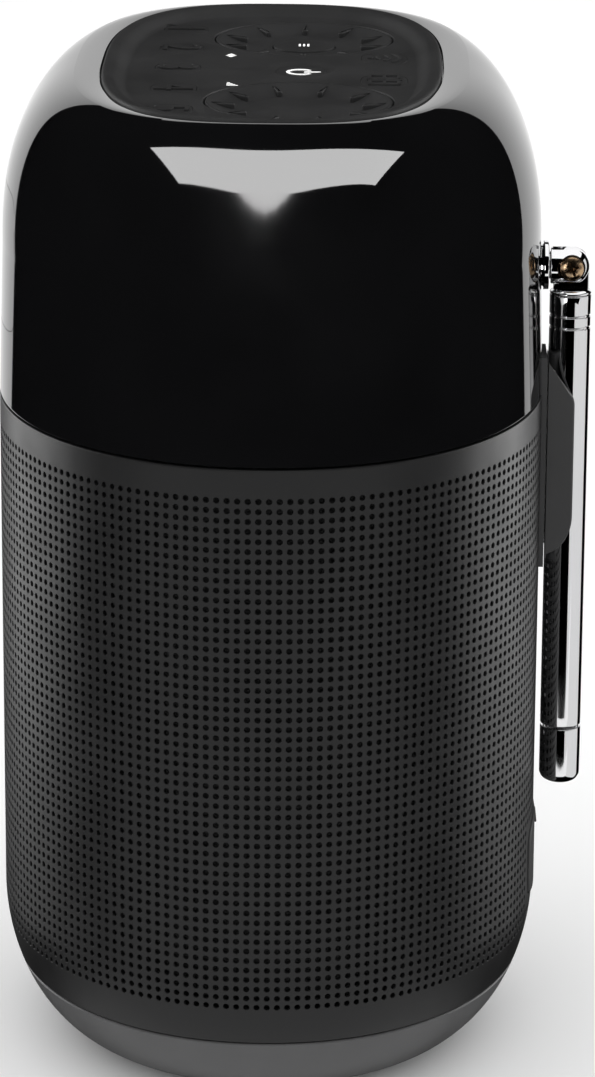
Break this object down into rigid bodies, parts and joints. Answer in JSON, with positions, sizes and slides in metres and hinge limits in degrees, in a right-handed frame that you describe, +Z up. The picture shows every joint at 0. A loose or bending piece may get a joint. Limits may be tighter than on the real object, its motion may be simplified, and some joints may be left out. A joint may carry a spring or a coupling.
{
  "type": "tabletop radio",
  "caption": "Portable tabletop radio: oval perforated body under a gloss cap, top pad with dials and keys, and a folding telescopic antenna.",
  "frame": {"origin": "centre of the foot pad's flat underside, on the body's axis", "axes": "+Z up, -Y the front with the display, +Y the back with the antenna, +X the listener's right"},
  "size_m": [0.118, 0.1094, 0.186],
  "materials": {
    "matte_plastic": "fine matte grain",
    "grille_metal": "black powder coat, perforated",
    "gloss_black": "piano black",
    "window_black": "smoked",
    "soft_rubber": "soft touch",
    "foot_rubber": "matte",
    "chrome": "polished",
    "brass": "machined",
    "steel": "zinc plated",
    "cone_paper": "pulp",
    "circuit_board": "solder mask",
    "cell_wrap": "shrink wrap"
  },
  "bodies": {
    "radio_body": {"base_cup": "matte_plastic", "foot_pad": "foot_rubber", "base_screw_1": "steel", "base_screw_2": "steel", "base_screw_3": "steel", "base_screw_4": "steel", "grille_sleeve": "grille_metal", "glossy_housing": "gloss_black", "display_window": "window_black", "lcd_module": "matte_plastic", "control_pad": "soft_rubber", "key_board": "circuit_board", "main_board": "circuit_board", "tune_encoder": "steel", "volume_encoder": "steel", "sound_box": "matte_plastic", "driver_basket": "steel", "driver_magnet": "steel", "driver_surround": "soft_rubber", "radiator_frame": "steel", "radiator_surround": "soft_rubber", "battery_cell_1": "cell_wrap", "battery_cell_2": "cell_wrap", "antenna_cradle": "matte_plastic", "cradle_lip_left": "soft_rubber", "cradle_lip_right": "soft_rubber", "cradle_screw_1": "steel", "cradle_screw_2": "steel", "port_bezel": "matte_plastic", "charge_socket": "steel", "audio_socket": "matte_plastic", "antenna_bushing": "chrome", "antenna_lead": "matte_plastic", "key_board_lead": "matte_plastic"},
    "tuning_dial": {"tune_dial": "soft_rubber"},
    "volume_dial": {"volume_dial": "soft_rubber"},
    "power_key": {"power_key": "soft_rubber"},
    "wireless_key": {"wireless_key": "soft_rubber"},
    "source_key": {"source_key": "soft_rubber"},
    "menu_key": {"menu_key": "soft_rubber"},
    "preset_key_1": {"preset_key_1": "soft_rubber"},
    "preset_key_2": {"preset_key_2": "soft_rubber"},
    "preset_key_3": {"preset_key_3": "soft_rubber"},
    "preset_key_4": {"preset_key_4": "soft_rubber"},
    "preset_key_5": {"preset_key_5": "soft_rubber"},
    "port_cover": {"port_cover": "soft_rubber"},
    "driver_cone": {"driver_cone": "cone_paper"},
    "radiator_plate": {"radiator_plate": "steel"},
    "antenna_swivel": {"antenna_stud": "chrome", "antenna_nut": "brass", "pivot_screw": "brass"},
    "antenna_arm": {"antenna_knuckle": "chrome", "antenna_tube": "chrome"},
    "antenna_section_2": {"antenna_section_2": "chrome"},
    "antenna_section_3": {"antenna_section_3": "chrome"},
    "antenna_section_4": {"antenna_section_4": "chrome"},
    "antenna_section_5": {"antenna_section_5": "chrome"},
    "antenna_rod": {"antenna_rod": "chrome", "antenna_tip": "chrome"}
  },
  "joints": [
    {"name": "tune_dial_turn", "type": "hinge", "parent": "radio_body", "child": "tuning_dial", "pos_m": [-0.0293, 0.0052, 0.184], "axis": [0, 0, 1], "continuous": true},
    {"name": "volume_dial_turn", "type": "hinge", "parent": "radio_body", "child": "volume_dial", "pos_m": [0.0293, 0.0052, 0.184], "axis": [0, 0, 1], "continuous": true},
    {"name": "power_key_press", "type": "slide", "parent": "radio_body", "child": "power_key", "axis": [0, 0, -1], "range_m": [0, 0.0007], "stiffness_N_per_m": 800},
    {"name": "wireless_key_press", "type": "slide", "parent": "radio_body", "child": "wireless_key", "axis": [0, 0, -1], "range_m": [0, 0.0007], "stiffness_N_per_m": 800},
    {"name": "source_key_press", "type": "slide", "parent": "radio_body", "child": "source_key", "axis": [0, 0, -1], "range_m": [0, 0.0007], "stiffness_N_per_m": 800},
    {"name": "menu_key_press", "type": "slide", "parent": "radio_body", "child": "menu_key", "axis": [0, 0, -1], "range_m": [0, 0.0007], "stiffness_N_per_m": 800},
    {"name": "preset_key_1_press", "type": "slide", "parent": "radio_body", "child": "preset_key_1", "axis": [0, 0, -1], "range_m": [0, 0.0007], "stiffness_N_per_m": 800},
    {"name": "preset_key_2_press", "type": "slide", "parent": "radio_body", "child": "preset_key_2", "axis": [0, 0, -1], "range_m": [0, 0.0007], "stiffness_N_per_m": 800},
    {"name": "preset_key_3_press", "type": "slide", "parent": "radio_body", "child": "preset_key_3", "axis": [0, 0, -1], "range_m": [0, 0.0007], "stiffness_N_per_m": 800},
    {"name": "preset_key_4_press", "type": "slide", "parent": "radio_body", "child": "preset_key_4", "axis": [0, 0, -1], "range_m": [0, 0.0007], "stiffness_N_per_m": 800},
    {"name": "preset_key_5_press", "type": "slide", "parent": "radio_body", "child": "preset_key_5", "axis": [0, 0, -1], "range_m": [0, 0.0007], "stiffness_N_per_m": 800},
    {"name": "port_cover_open", "type": "hinge", "parent": "radio_body", "child": "port_cover", "pos_m": [0, 0.05065, 0.028], "axis": [-1, 0, 0], "range_deg": [0, 110], "stiffness_Nm_per_rad": 0.002},
    {"name": "driver_cone_stroke", "type": "slide", "parent": "radio_body", "child": "driver_cone", "axis": [0, -1, 0], "range_m": [-0.002, 0.002], "stiffness_N_per_m": 1200, "deforming": ["driver_surround"]},
    {"name": "radiator_stroke", "type": "slide", "parent": "radio_body", "child": "radiator_plate", "axis": [0, 1, 0], "range_m": [-0.002, 0.002], "stiffness_N_per_m": 900, "deforming": ["radiator_surround"]},
    {"name": "antenna_swivel", "type": "hinge", "parent": "radio_body", "child": "antenna_swivel", "pos_m": [0, 0.0552, 0.1478], "axis": [0, 1, 0], "range_deg": [-90, 90], "deforming": ["cradle_lip_left", "cradle_lip_right"]},
    {"name": "antenna_tilt", "type": "hinge", "parent": "antenna_swivel", "child": "antenna_arm", "pos_m": [0, 0.0552, 0.1478], "axis": [1, 0, 0], "range_deg": [0, 180]},
    {"name": "antenna_extend_1", "type": "slide", "parent": "antenna_arm", "child": "antenna_section_2", "axis": [0, 0, -1], "range_m": [0, 0.046]},
    {"name": "antenna_extend_2", "type": "slide", "parent": "antenna_section_2", "child": "antenna_section_3", "axis": [0, 0, -1], "range_m": [0, 0.046]},
    {"name": "antenna_extend_3", "type": "slide", "parent": "antenna_section_3", "child": "antenna_section_4", "axis": [0, 0, -1], "range_m": [0, 0.046]},
    {"name": "antenna_extend_4", "type": "slide", "parent": "antenna_section_4", "child": "antenna_section_5", "axis": [0, 0, -1], "range_m": [0, 0.046]},
    {"name": "antenna_extend_5", "type": "slide", "parent": "antenna_section_5", "child": "antenna_rod", "axis": [0, 0, -1], "range_m": [0, 0.046]}
  ]
}
